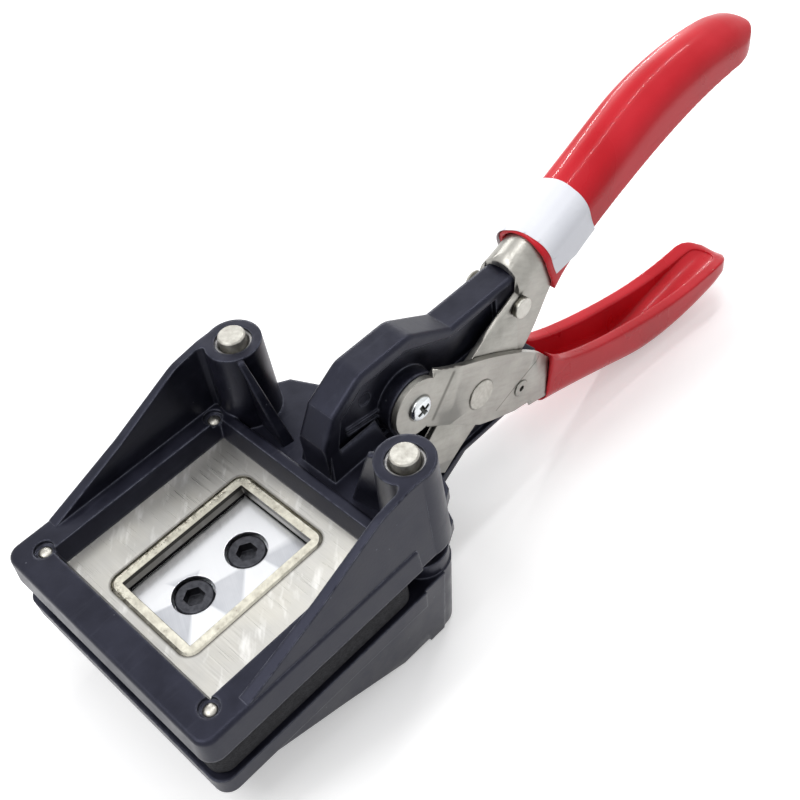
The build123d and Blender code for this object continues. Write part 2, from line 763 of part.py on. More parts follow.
with BuildPart() as return_spring:
    with BuildLine() as path:
        first, first_way = coil_point(coil_lead)
        last, last_way = coil_point(coil_sweep - coil_lead)
        foot = Vector(spring_radius, spring_y, spring_bottom)
        crown = Vector(spring_radius * cos(coil_sweep), spring_y + spring_radius * sin(coil_sweep),
                       spring_top)
        leg = Vector(0, 0, 2 * spring_wire)
        Line(foot, foot + leg)
        biarc(foot + leg, leg.normalized(), first, first_way)
        for step in range(coil_steps):
            start, start_way = coil_point(coil_lead + step * coil_step)
            end, end_way = coil_point(coil_lead + (step + 1) * coil_step)
            biarc(start, start_way, end, end_way)
        biarc(last, last_way, crown - leg, leg.normalized())
        Line(crown - leg, crown)
    with BuildSketch(Plane(origin=foot, z_dir=(0, 0, -1))):
        Circle(spring_wire)
    sweep(path=path.line)

# the least gap between turns of the spring, measured on points of its middle line
coil = path.wires()[0]
trail = [coil @ (step / gap_steps) for step in range(gap_steps + 1)]
quarter = round(gap_steps * pi / 2 / coil_sweep)
middle_gap = min((trail[i] - trail[j]).length for j in range(len(trail)) for i in range(j - quarter))
print("return_spring's least gap to itself, mm:", round(middle_gap - 2 * spring_wire, 3))

pieces = {"upper_jaw": upper_jaw.part, "lower_jaw": lower_jaw.part,
          "die_plate": die_plate.part, "die_ring": die_ring.part,
          "die_rivets": die_rivets.part, "punch_block": punch_block.part, "punch_screws": punch_screws.part,
          "foam_pad": foam_pad.part, "post_left": posts["left"], "post_right": posts["right"],
          "bush_left": bushes["left"], "bush_right": bushes["right"], "upper_handle": upper_handle.part,
          "lower_handle": lower_handle.part, "upper_grip": upper_grip, "lower_grip": lower_grip,
          "size_label": size_label.part, "main_pin": main_pin.part, "pivot_spacer": pivot_spacer.part,
          "jaw_pivot_pin": jaw_pivot_pin.part, "pivot_sleeve": pivot_sleeve.part,
          "pivot_screw": pivot_screw.part, "slide_pin": slide_pin.part,
          "stop_rivet": stop_rivet.part, "return_spring": return_spring.part}
os.makedirs("parts", exist_ok=True)
for name, piece in pieces.items():
    piece.label = name
    export_step(piece, f"parts/{name}.step")
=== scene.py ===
import math
import bpy
import bmesh
from mathutils import Matrix, Vector
from mathutils.bvhtree import BVHTree


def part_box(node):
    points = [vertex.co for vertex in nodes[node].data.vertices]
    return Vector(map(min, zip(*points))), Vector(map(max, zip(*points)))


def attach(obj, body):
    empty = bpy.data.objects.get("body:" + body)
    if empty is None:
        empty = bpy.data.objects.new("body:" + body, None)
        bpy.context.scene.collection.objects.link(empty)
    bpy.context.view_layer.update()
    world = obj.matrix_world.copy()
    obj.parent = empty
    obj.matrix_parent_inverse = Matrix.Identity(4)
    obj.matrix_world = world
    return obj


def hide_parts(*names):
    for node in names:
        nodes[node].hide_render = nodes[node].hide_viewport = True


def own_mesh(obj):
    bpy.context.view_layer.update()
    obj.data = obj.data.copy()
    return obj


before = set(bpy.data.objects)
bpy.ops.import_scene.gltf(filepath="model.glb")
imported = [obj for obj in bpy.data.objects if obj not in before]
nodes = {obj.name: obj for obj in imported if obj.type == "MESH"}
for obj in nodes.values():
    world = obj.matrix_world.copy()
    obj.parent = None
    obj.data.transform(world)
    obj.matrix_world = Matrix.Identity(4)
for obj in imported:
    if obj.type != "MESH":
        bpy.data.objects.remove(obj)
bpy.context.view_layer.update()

scene = bpy.context.scene
mm = 0.001
print("frame loaded:", len(nodes), "nodes")


def finishMesh(name, bm, sharpAngle=32):
    bmesh.ops.remove_doubles(bm, verts=bm.verts, dist=1e-7)
    bmesh.ops.recalc_face_normals(bm, faces=bm.faces)
    mesh = bpy.data.meshes.new(name)
    bm.to_mesh(mesh)
    bm.free()
    mesh.shade_smooth()
    mesh.set_sharp_from_angle(angle=math.radians(sharpAngle))
    piece = bpy.data.objects.new(name, mesh)
    scene.collection.objects.link(piece)
    return piece


def applyModifiers(piece):
    graph = bpy.context.evaluated_depsgraph_get()
    solid = bpy.data.meshes.new_from_object(piece.evaluated_get(graph))
    piece.modifiers.clear()
    piece.data = solid


def skinRings(bm, rings, capped=True):
    # joins closed rings of points, one after the other, into a tube
    made = [[bm.verts.new(point) for point in ring] for ring in rings]
    count = len(made[0])
    for first, second in zip(made, made[1:]):
        for step in range(count):
            after = (step + 1) % count
            bm.faces.new((first[step], first[after], second[after], second[step]))
    if capped:
        bm.faces.new(made[0])
        bm.faces.new(made[-1])


def latheAcross(bm, profile, centre, steps=64):
    # turns a list of (x, radius) in millimetres about a line along X through centre (y, z)
    turns = [2 * math.pi * k / steps for k in range(steps)]
    skinRings(bm, [[(x * mm, (centre[0] + r * math.cos(a)) * mm, (centre[1] + r * math.sin(a)) * mm) for a in turns]
                   for x, r in profile])


def latheUp(bm, profile, centre, steps=40):
    # the same about a vertical line, for a list of (z, radius)
    turns = [2 * math.pi * k / steps for k in range(steps)]
    skinRings(bm, [[((centre[0] + r * math.cos(a)) * mm, (centre[1] + r * math.sin(a)) * mm, z * mm) for a in turns]
                   for z, r in profile])


def roundedLoop(halfWidth, halfLength, corner, z, steps=10, shiftY=0.0):
    # a round-cornered rectangle about the origin, in millimetres
    loop = []
    for quarter, (sx, sy) in enumerate(((1, 1), (-1, 1), (-1, -1), (1, -1))):
        for k in range(steps + 1):
            angle = (quarter + k / steps) * math.pi / 2
            loop.append(((sx * (halfWidth - corner) + corner * math.cos(angle)) * mm,
                         (sy * (halfLength - corner) + corner * math.sin(angle) + shiftY) * mm, z * mm))
    return loop


def sliceMesh(bm, places, normal):
    # cuts a mesh along planes, so that it can be bent
    for place in places:
        part = bm.verts[:] + bm.edges[:] + bm.faces[:]
        spot = tuple(share * place * mm for share in normal)
        bmesh.ops.bisect_plane(bm, geom=part, plane_co=spot, plane_no=normal, dist=1e-7)


def addNode(tree, kind, values=None, **settings):
    made = tree.nodes.new(kind)
    for key, value in settings.items():
        setattr(made, key, value)
    for key, value in (values or {}).items():
        if isinstance(value, bpy.types.NodeSocket):
            tree.links.new(value, made.inputs[key])
        else:
            made.inputs[key].default_value = value
    return made


def calc(tree, operation, *values, clamp=False):
    made = addNode(tree, "ShaderNodeMath", dict(enumerate(values)), operation=operation)
    made.use_clamp = clamp
    return made.outputs[0]


def vectorCalc(tree, operation, *values):
    made = addNode(tree, "ShaderNodeVectorMath", dict(enumerate(values)), operation=operation)
    return made.outputs["Value"] if operation in ("LENGTH", "DOT_PRODUCT") else made.outputs["Vector"]


def spread(tree, value, low, high, toLow=0.0, toHigh=1.0, kind="LINEAR"):
    # takes a value from one range to another
    limits = {"Value": value, "From Min": low, "From Max": high, "To Min": toLow, "To Max": toHigh}
    return addNode(tree, "ShaderNodeMapRange", limits, interpolation_type=kind).outputs[0]


def blendColors(tree, mask, first, second):
    made = addNode(tree, "ShaderNodeMix", data_type="RGBA")
    for slot, value in ((0, mask), (6, first), (7, second)):
        if isinstance(value, bpy.types.NodeSocket):
            tree.links.new(value, made.inputs[slot])
        else:
            made.inputs[slot].default_value = value
    return made.outputs[2]


def layer(tree, color, mask, share, tint):
    # lays a tint over a colour where the mask says
    return blendColors(tree, calc(tree, "MULTIPLY", mask, share), color, tint)


def objectPlace(tree):
    return addNode(tree, "ShaderNodeTexCoord").outputs["Object"]


def axisOf(tree, vector, axis):
    return addNode(tree, "ShaderNodeSeparateXYZ", {"Vector": vector}).outputs[axis]


def noise(tree, place, scale, detail, roughness=0.5):
    settings = {"Vector": place, "Scale": scale, "Detail": detail, "Roughness": roughness}
    return addNode(tree, "ShaderNodeTexNoise", settings).outputs[0]


def newGroup(name, inputs, outputs):
    group = bpy.data.node_groups.new(name, "ShaderNodeTree")
    for label, value in inputs.items():
        kind = "NodeSocketVector" if isinstance(value, tuple) else "NodeSocketFloat"
        group.interface.new_socket(name=label, in_out="INPUT", socket_type=kind).default_value = value
    for label, kind in outputs.items():
        group.interface.new_socket(name=label, in_out="OUTPUT", socket_type="NodeSocket" + kind)
    entry = group.nodes.new("NodeGroupInput")
    leave = group.nodes.new("NodeGroupOutput")
    return group, entry.outputs, leave.inputs


def useGroup(tree, group, values):
    made = addNode(tree, "ShaderNodeGroup", node_tree=group)
    for key, value in values.items():
        made.inputs[key.capitalize()].default_value = value
    return made.outputs


# fine bumps and soft patches of a painted, plated or moulded skin
skinGroup, entry, leave = newGroup("skin", {"Patches": 200.0, "Grain": 2000.0, "Softness": 0.5},
                                   {"Tone": "Float", "Height": "Float"})
place = objectPlace(skinGroup)
patches = noise(skinGroup, place, entry["Patches"], 4.0, entry["Softness"])
skinGroup.links.new(spread(skinGroup, patches, 0.22, 0.78, kind="SMOOTHSTEP"), leave["Tone"])
skinGroup.links.new(noise(skinGroup, place, entry["Grain"], 2.0), leave["Height"])

# rounded look of edges, and a mask along them for worn paint and painted edge highlights
edgeGroup, entry, leave = newGroup("edgeWearAndHighlight", {"Radius": 0.0004, "Reach": 0.1, "Breaks": 900.0},
                                   {"Mask": "Float", "Normal": "Vector"})
rounded = addNode(edgeGroup, "ShaderNodeBevel", {"Radius": entry["Radius"]}, samples=6).outputs[0]
flat = addNode(edgeGroup, "ShaderNodeNewGeometry").outputs["Normal"]
turn = calc(edgeGroup, "SUBTRACT", 1.0, vectorCalc(edgeGroup, "DOT_PRODUCT", rounded, flat))
patchy = noise(edgeGroup, objectPlace(edgeGroup), entry["Breaks"], 3.0)
wearAndHighlight = calc(edgeGroup, "MULTIPLY", spread(edgeGroup, turn, 0.004, entry["Reach"]), spread(edgeGroup, patchy, 0.35, 0.6))
edgeGroup.links.new(wearAndHighlight, leave["Mask"])
edgeGroup.links.new(rounded, leave["Normal"])

# lines left by grinding, brushing or handling: the coordinates are stretched along the lines
lineInputs = {"Stretch": (40.0, 3000.0, 40.0), "Turn": (0.0, 0.0, 0.0), "Low": 0.35, "High": 0.65}
linesGroup, entry, leave = newGroup("toolLines", lineInputs, {"Tone": "Float", "Height": "Float"})
aimed = {"Vector": objectPlace(linesGroup), "Rotation": entry["Turn"]}
turned = addNode(linesGroup, "ShaderNodeVectorRotate", aimed, rotation_type="EULER_XYZ").outputs[0]
strokes = noise(linesGroup, vectorCalc(linesGroup, "MULTIPLY", turned, entry["Stretch"]), 1.0, 3.0, 0.6)
linesGroup.links.new(spread(linesGroup, strokes, entry["Low"], entry["High"]), leave["Tone"])
linesGroup.links.new(strokes, leave["Height"])

# scattered small spots: dust or pores
specksGroup, entry, leave = newGroup("specks", {"Density": 400.0, "Size": 0.12, "Share": 0.5}, {"Mask": "Float"})
scattered = {"Vector": objectPlace(specksGroup), "Scale": entry["Density"]}
cells = addNode(specksGroup, "ShaderNodeTexVoronoi", scattered).outputs
near = calc(specksGroup, "LESS_THAN", cells["Distance"], entry["Size"])
picked = addNode(specksGroup, "ShaderNodeSeparateColor", {"Color": cells["Color"]}).outputs[0]
chosen = calc(specksGroup, "LESS_THAN", picked, entry["Share"])
specksGroup.links.new(calc(specksGroup, "MULTIPLY", near, chosen), leave["Mask"])

# how far a point lies outside a round-cornered frame about the origin, in metres
frameGroup, entry, leave = newGroup("frameDistance", {"Half": (0.0135, 0.0185, 0.0), "Corner": 0.003},
                                    {"Distance": "Float"})
place = vectorCalc(frameGroup, "ABSOLUTE", objectPlace(frameGroup))
corners = addNode(frameGroup, "ShaderNodeCombineXYZ", {"X": entry["Corner"], "Y": entry["Corner"]}).outputs[0]
shift = vectorCalc(frameGroup, "ADD", vectorCalc(frameGroup, "SUBTRACT", place, entry["Half"]), corners)
flatShift = vectorCalc(frameGroup, "MULTIPLY", shift, (1.0, 1.0, 0.0))
outside = vectorCalc(frameGroup, "LENGTH", vectorCalc(frameGroup, "MAXIMUM", flatShift, (0.0, 0.0, 0.0)))
farther = calc(frameGroup, "MAXIMUM", axisOf(frameGroup, flatShift, "X"), axisOf(frameGroup, flatShift, "Y"))
reach = calc(frameGroup, "ADD", outside, calc(frameGroup, "MINIMUM", farther, 0.0))
frameGroup.links.new(calc(frameGroup, "SUBTRACT", reach, entry["Corner"]), leave["Distance"])

# a fine line between two points, seen from the side, for painted shade along a pressed crease
markInputs = {"Start": (0.0, 0.0, 0.0), "Finish": (0.0, 0.01, 0.0), "Width": 0.0002}
markGroup, entry, leave = newGroup("creaseShadeLine", markInputs, {"Mask": "Float"})
place = vectorCalc(markGroup, "MULTIPLY", objectPlace(markGroup), (0.0, 1.0, 1.0))
run = vectorCalc(markGroup, "SUBTRACT", entry["Finish"], entry["Start"])
away = vectorCalc(markGroup, "SUBTRACT", place, entry["Start"])
runSquare = vectorCalc(markGroup, "DOT_PRODUCT", run, run)
share = calc(markGroup, "DIVIDE", vectorCalc(markGroup, "DOT_PRODUCT", away, run), runSquare, clamp=True)
along = addNode(markGroup, "ShaderNodeVectorMath", {"Vector": run, "Scale": share}, operation="SCALE").outputs["Vector"]
gap = vectorCalc(markGroup, "LENGTH", vectorCalc(markGroup, "SUBTRACT", away, along))
markGroup.links.new(spread(markGroup, gap, entry["Width"], 0.0, kind="SMOOTHSTEP"), leave["Mask"])

# painted shadow and grease round a pin's head, seen from the side, as a dark seam
seamGroup, entry, leave = newGroup("seamShade", {"Centre": (0.0, 0.0, 0.0), "Radius": 0.003, "Width": 0.00045},
                                   {"Mask": "Float"})
place = vectorCalc(seamGroup, "MULTIPLY", objectPlace(seamGroup), (0.0, 1.0, 1.0))
aside = vectorCalc(seamGroup, "LENGTH", vectorCalc(seamGroup, "SUBTRACT", place, entry["Centre"]))
gap = calc(seamGroup, "ABSOLUTE", calc(seamGroup, "SUBTRACT", aside, entry["Radius"]))
seamGroup.links.new(spread(seamGroup, gap, entry["Width"], 0.0, kind="SMOOTHSTEP"), leave["Mask"])
print("shader groups ready")


def newMaterial(name, look):
    material = bpy.data.materials.new(name)
    material.use_nodes = True
    tree = material.node_tree
    shader = tree.nodes["Principled BSDF"]
    for key, value in look["shader"].items():
        shader.inputs[key].default_value = value
    return material, tree, shader


def feed(tree, shader, look, color, height, tone=None, normal=None):
    # joins colour, bumps and, where the gloss varies, the tone that it follows to the shader
    tree.links.new(color, shader.inputs["Base Color"])
    if tone is not None:
        rough = spread(tree, tone, 0.0, look.get("toneTop", 1.0), look["roughLow"], look["roughHigh"])
        tree.links.new(rough, shader.inputs["Roughness"])
    relief = {"Height": height, "Strength": look["bumpStrength"], "Distance": look["bumpDepth"]}
    bump = addNode(tree, "ShaderNodeBump", relief)
    if normal is not None:
        tree.links.new(normal, bump.inputs["Normal"])
    tree.links.new(bump.outputs[0], shader.inputs["Normal"])


# semi-gloss paint of the castings, rubbed and worn along its edges; the lighter edges are partly painted highlight, and
# thin light lines along the edge crests are painted highlights
paintLook = {"base": (0.0045, 0.0045, 0.0078, 1), "pale": (0.0095, 0.0098, 0.0165, 1), "wearAndHighlight": (0.085, 0.09, 0.115, 1),
             "line": (0.24, 0.25, 0.3, 1), "dust": (0.16, 0.17, 0.2, 1),
             "skin": {"patches": 140.0, "grain": 1500.0, "softness": 0.6}, "edges": {"radius": 0.0008, "reach": 0.12},
             "crests": {"radius": 0.00028, "reach": 0.13, "breaks": 420.0},
             "rub": {"stretch": (500.0, 60.0, 500.0), "low": 0.56, "high": 0.8},
             "specks": {"density": 260.0, "size": 0.05, "share": 0.35},
             "edgeShare": 0.55, "crestHighlightShare": 0.6, "dustShare": 0.35, "rubShare": 0.12, "rubTone": 0.4, "toneTop": 1.2,
             "dustHeight": 0.6, "roughLow": 0.27, "roughHigh": 0.46, "bumpStrength": 0.25, "bumpDepth": 0.00006,
             "shader": {"IOR": 1.5, "Specular IOR Level": 0.36, "Specular Tint": (0.7, 0.73, 1.0, 1)}}
blackPaint, tree, shader = newMaterial("blackPaint", paintLook)
skin = useGroup(tree, skinGroup, paintLook["skin"])
edges = useGroup(tree, edgeGroup, paintLook["edges"])
crestHighlight = useGroup(tree, edgeGroup, paintLook["crests"])
rub = useGroup(tree, linesGroup, paintLook["rub"])
dust = useGroup(tree, specksGroup, paintLook["specks"])
color = blendColors(tree, skin["Tone"], paintLook["base"], paintLook["pale"])
# lighter edges: worn paint, and painted highlight along the rounded edges
color = layer(tree, color, edges["Mask"], paintLook["edgeShare"], paintLook["wearAndHighlight"])
# thin light lines along the edge crests: painted highlights
color = layer(tree, color, crestHighlight["Mask"], paintLook["crestHighlightShare"], paintLook["line"])
color = layer(tree, color, dust["Mask"], paintLook["dustShare"], paintLook["dust"])
color = layer(tree, color, rub["Tone"], paintLook["rubShare"], paintLook["wearAndHighlight"])
tone = calc(tree, "ADD", skin["Tone"], calc(tree, "MULTIPLY", rub["Tone"], paintLook["rubTone"]))
height = calc(tree, "ADD", skin["Height"], calc(tree, "MULTIPLY", dust["Mask"], paintLook["dustHeight"]))
feed(tree, shader, paintLook, color, height, tone, edges["Normal"])

# ground plate: lines along X, cloudy patches, slanting bright strokes, and a dark line round the ring that is painted
# shade in the seam between plate and ring
ringFrame = {"half": (0.0135, 0.0185, 0.0), "corner": 0.003}
plateLook = {"base": (0.50, 0.495, 0.475, 1), "bright": (0.92, 0.915, 0.9, 1), "warm": (0.60, 0.58, 0.52, 1),
             "gap": (0.06, 0.055, 0.045, 1), "cloud": (0.36, 0.355, 0.345, 1),
             "skin": {"patches": 95.0, "grain": 2600.0, "softness": 0.55}, "edges": {"radius": 0.0003, "reach": 0.2},
             "fine": {"stretch": (90.0, 5200.0, 90.0), "low": 0.3, "high": 0.7},
             "strokes": {"stretch": (300.0, 85.0, 1.0), "turn": (0.0, 0.0, 2.37), "low": 0.55, "high": 0.72},
             "clouds": {"patches": 32.0, "grain": 900.0, "softness": 0.35},
             "cloudShare": 0.5, "strokeShare": 0.6, "fineShare": 0.12, "ringGapShadeShare": 0.8, "ringGapShadeRange": (0.0006, 0.0001),
             "skinHeight": 0.5, "roughLow": 0.26, "roughHigh": 0.4, "bumpStrength": 0.12, "bumpDepth": 0.00003,
             "shader": {"Metallic": 1.0}}
groundSteel, tree, shader = newMaterial("groundSteel", plateLook)
skin = useGroup(tree, skinGroup, plateLook["skin"])
fine = useGroup(tree, linesGroup, plateLook["fine"])
strokes = useGroup(tree, linesGroup, plateLook["strokes"])
clouds = useGroup(tree, skinGroup, plateLook["clouds"])
ring = useGroup(tree, frameGroup, ringFrame)
edges = useGroup(tree, edgeGroup, plateLook["edges"])
color = blendColors(tree, skin["Tone"], plateLook["base"], plateLook["warm"])
color = layer(tree, color, clouds["Tone"], plateLook["cloudShare"], plateLook["cloud"])
color = layer(tree, color, strokes["Tone"], plateLook["strokeShare"], plateLook["bright"])
color = layer(tree, color, fine["Tone"], plateLook["fineShare"], plateLook["bright"])
# painted shade in the seam round the ring
ringGapShade = spread(tree, ring["Distance"], *plateLook["ringGapShadeRange"])
color = layer(tree, color, ringGapShade, plateLook["ringGapShadeShare"], plateLook["gap"])
height = calc(tree, "ADD", fine["Height"], calc(tree, "MULTIPLY", skin["Height"], plateLook["skinHeight"]))
feed(tree, shader, plateLook, color, height, fine["Tone"], edges["Normal"])

# hardened ring: straw tint, burnt specks along its outer edge, most of them on the left, and painted shade on its inner
# walls
ringLook = {"base": (0.47, 0.445, 0.37, 1), "bright": (0.70, 0.68, 0.585, 1), "burnt": (0.055, 0.04, 0.02, 1),
            "wallShade": (0.03, 0.028, 0.024, 1), "skin": {"patches": 520.0, "grain": 3200.0, "softness": 0.65},
            "wear": {"patches": 150.0, "grain": 900.0, "softness": 0.7},
            "spots": {"patches": 800.0, "grain": 2500.0, "softness": 0.85},
            "fine": {"stretch": (300.0, 2500.0, 90.0), "turn": (0.0, 0.0, 0.8)}, "fineShare": 0.3, "burntShare": 0.9,
            "band": (-0.0023, -0.0007), "leftReach": -0.012, "rightShare": 0.15, "spotRange": (0.5, 0.58),
            "wearRange": (0.2, 0.6), "wallShadeRange": (0.45, 0.15), "roughLow": 0.25, "roughHigh": 0.45,
            "bumpStrength": 0.35, "bumpDepth": 0.00005, "shader": {"Metallic": 1.0}}
ringSteel, tree, shader = newMaterial("ringSteel", ringLook)
skin = useGroup(tree, skinGroup, ringLook["skin"])
wear = useGroup(tree, skinGroup, ringLook["wear"])
spots = useGroup(tree, skinGroup, ringLook["spots"])
fine = useGroup(tree, linesGroup, ringLook["fine"])
ring = useGroup(tree, frameGroup, ringFrame)
band = spread(tree, ring["Distance"], *ringLook["band"])
leftMost = spread(tree, axisOf(tree, objectPlace(tree), "X"), 0.0, ringLook["leftReach"], ringLook["rightShare"])
spotted = calc(tree, "MULTIPLY", spread(tree, spots["Tone"], *ringLook["spotRange"]), band)
patchy = calc(tree, "MULTIPLY", spread(tree, wear["Tone"], *ringLook["wearRange"]), leftMost)
burnt = calc(tree, "MULTIPLY", spotted, patchy)
upward = axisOf(tree, addNode(tree, "ShaderNodeNewGeometry").outputs["Normal"], "Z")
color = blendColors(tree, skin["Tone"], ringLook["base"], ringLook["bright"])
color = layer(tree, color, fine["Tone"], ringLook["fineShare"], ringLook["bright"])
color = layer(tree, color, burnt, ringLook["burntShare"], ringLook["burnt"])
# faces turned away from upward get painted shade
color = blendColors(tree, spread(tree, upward, *ringLook["wallShadeRange"]), color, ringLook["wallShade"])
feed(tree, shader, ringLook, color, calc(tree, "SUBTRACT", skin["Height"], burnt), skin["Tone"])

# punch face: polished in sweeps round the two screws; the bright sweeps are painted highlights of that polish
punchLook = {"base": (0.62, 0.63, 0.66, 1), "bright": (0.93, 0.94, 0.96, 1), "dull": (0.47, 0.485, 0.52, 1),
             "skin": {"patches": 110.0, "grain": 2600.0, "softness": 0.5}, "edges": {"radius": 0.00025, "reach": 0.3},
             "fine": {"stretch": (60.0, 4200.0, 60.0), "turn": (0.0, 0.0, 0.45), "low": 0.3, "high": 0.7},
             "screws": (-0.00734, 0.00686), "highlightBeams": 3.0, "highlightTurn": 0.9, "highlightRange": (0.05, 0.3), "highlightShare": 0.7,
             "fineShare": 0.1, "roughLow": 0.28, "roughHigh": 0.33, "bumpStrength": 0.015, "bumpDepth": 0.00003,
             "shader": {"Metallic": 1.0}}
punchSteel, tree, shader = newMaterial("punchSteel", punchLook)
skin = useGroup(tree, skinGroup, punchLook["skin"])
fine = useGroup(tree, linesGroup, punchLook["fine"])
edges = useGroup(tree, edgeGroup, punchLook["edges"])
place = objectPlace(tree)
sweepHighlights = []
for screwY in punchLook["screws"]:
    angle = calc(tree, "ARCTAN2", calc(tree, "SUBTRACT", axisOf(tree, place, "Y"), screwY), axisOf(tree, place, "X"))
    highlightBeams = calc(tree, "COSINE", calc(tree, "MULTIPLY_ADD", angle, punchLook["highlightBeams"], punchLook["highlightTurn"]))
    sweepHighlights.append(spread(tree, highlightBeams, *punchLook["highlightRange"]))
color = blendColors(tree, skin["Tone"], punchLook["dull"], punchLook["base"])
# the bright sweeps are painted highlights
color = layer(tree, color, calc(tree, "MAXIMUM", *sweepHighlights), punchLook["highlightShare"], punchLook["bright"])
color = layer(tree, color, fine["Tone"], punchLook["fineShare"], punchLook["bright"])
feed(tree, shader, punchLook, color, fine["Height"], fine["Tone"], edges["Normal"])


# the other metals differ only in colour, gloss and the run of their lines
metalLook = {"softness": 0.6, "turn": (0.0, 0.0, 0.0), "low": 0.45, "high": 0.75, "reach": 0.25, "lineHeight": 0.6,
             "shader": {"Metallic": 1.0}}


def plainMetal(name, own):
    look = {**metalLook, **own}
    material, tree, shader = newMaterial(name, look)
    skin = useGroup(tree, skinGroup, {key: look[key] for key in ("patches", "grain", "softness")})
    lines = useGroup(tree, linesGroup, {key: look[key] for key in ("stretch", "turn", "low", "high")})
    edges = useGroup(tree, edgeGroup, {key: look[key] for key in ("radius", "reach")})
    color = blendColors(tree, skin["Tone"], look["base"], look["pale"])
    color = layer(tree, color, lines["Tone"], look["lineShare"], look["line"])
    color = layer(tree, color, edges["Mask"], look["edgeShare"], look["pale"])
    # lines of painted shade along pressed creases
    for start, finish, width in look.get("marks", ()):
        mark = useGroup(tree, markGroup, {"start": start, "finish": finish, "width": width})
        color = layer(tree, color, mark["Mask"], look["markShare"], look["mark"])
    # painted shade, with grease, on the side of a head below its face
    if "side" in look:  # a dark rim below the face of a head
        across = calc(tree, "ABSOLUTE", axisOf(tree, objectPlace(tree), "X"))
        sideShade = spread(tree, across, look["sideEnd"], look["sideEnd"] - look["sideFade"])
        color = blendColors(tree, sideShade, color, look["side"])
    if "recess" in look:  # darker towards the bottom of the screw's recess
        place = objectPlace(tree)
        depth = spread(tree, axisOf(tree, place, "X"), look["recessTop"], look["recessTop"] - look["recessFade"])
        away = vectorCalc(tree, "MULTIPLY", vectorCalc(tree, "SUBTRACT", place, look["recess"]), (0.0, 1.0, 1.0))
        inside = calc(tree, "LESS_THAN", vectorCalc(tree, "LENGTH", away), look["recessReach"])
        color = layer(tree, color, depth, inside, look["recessColor"])
    # painted shadow in the seams round pin heads
    for centre, radius in look.get("seamShades", ()):
        seamShade = useGroup(tree, seamGroup, {"centre": centre, "radius": radius})
        color = layer(tree, color, seamShade["Mask"], look["markShare"], look["mark"])
    height = calc(tree, "ADD", skin["Height"], calc(tree, "MULTIPLY", lines["Height"], look["lineHeight"]))
    feed(tree, shader, look, color, height, skin["Tone"], edges["Normal"])
    return material


nickelLook = {"base": (0.30, 0.292, 0.268, 1), "pale": (0.42, 0.408, 0.378, 1), "line": (0.20, 0.195, 0.18, 1), "lineShare": 0.28,
              "patches": 160.0, "grain": 3200.0, "stretch": (400.0, 130.0, 900.0), "turn": (0.5, 0.0, 0.0), "radius": 0.0003,
              "edgeShare": 0.6, "roughLow": 0.3, "roughHigh": 0.46, "bumpStrength": 0.25, "bumpDepth": 0.00004}
nickelSteel = plainMetal("nickelSteel", nickelLook)

# the lower handle's plate also has pressed creases, shown as lines of painted shade, and painted shadow in the seams
# round its three pins
creaseShadeLines = (((0.0, 0.0913, -0.0109), (0.0, 0.0815, -0.0137), 0.00035),
               ((0.0, 0.0815, -0.0137), (0.0, 0.0752, -0.0158), 0.00025),
               ((0.0, 0.0632, 0.0075), (0.0, 0.0556, -0.0008), 0.0009))
pinSeamShades = (((0.0, 0.0707, -0.0061), 0.0038), ((0.0, 0.084, -0.0155), 0.0021), ((0.0, 0.0522, 0.0059), 0.0031))
creasedLook = dict(nickelLook, mark=(0.09, 0.085, 0.075, 1), markShare=0.75, marks=creaseShadeLines, seamShades=pinSeamShades)
creasedSteel = plainMetal("creasedSteel", creasedLook)

pinLook = {"base": (0.36, 0.345, 0.31, 1), "pale": (0.53, 0.52, 0.48, 1), "line": (0.22, 0.21, 0.18, 1), "lineShare": 0.3,
           "patches": 620.0, "grain": 2600.0, "stretch": (1500.0, 1500.0, 900.0), "radius": 0.0003, "edgeShare": 0.5,
           "roughLow": 0.32, "roughHigh": 0.5, "bumpStrength": 0.45, "bumpDepth": 0.00006}
pinSteel = plainMetal("pinSteel", pinLook)

# head of the slide pin, whose side below the face carries painted shade
headLook = {"base": (0.47, 0.46, 0.42, 1), "pale": (0.62, 0.61, 0.57, 1), "line": (0.3, 0.29, 0.26, 1), "lineShare": 0.3,
            "patches": 420.0, "grain": 2400.0, "stretch": (900.0, 500.0, 900.0), "radius": 0.0003, "edgeShare": 0.4,
            "side": (0.09, 0.085, 0.07, 1), "sideEnd": 0.0077, "sideFade": 0.0006,
            "roughLow": 0.3, "roughHigh": 0.46, "bumpStrength": 0.3, "bumpDepth": 0.00005}
headSteel = plainMetal("headSteel", headLook)

bushLook = {"base": (0.1, 0.1, 0.11, 1), "pale": (0.34, 0.335, 0.33, 1), "line": (0.5, 0.49, 0.47, 1), "lineShare": 0.35,
            "patches": 700.0, "grain": 2600.0, "stretch": (900.0, 900.0, 300.0), "radius": 0.0003, "edgeShare": 0.8,
            "roughLow": 0.35, "roughHigh": 0.5, "bumpStrength": 0.3, "bumpDepth": 0.00004}
bushSteel = plainMetal("bushSteel", bushLook)

oxideLook = {"base": (0.035, 0.036, 0.042, 1), "pale": (0.075, 0.077, 0.088, 1), "line": (0.12, 0.12, 0.13, 1), "lineShare": 0.2,
             "patches": 900.0, "grain": 4200.0, "stretch": (1200.0, 1200.0, 900.0), "radius": 0.0003, "edgeShare": 0.5,
             "roughLow": 0.35, "roughHigh": 0.5, "bumpStrength": 0.35, "bumpDepth": 0.00004}
blackOxide = plainMetal("blackOxide", oxideLook)

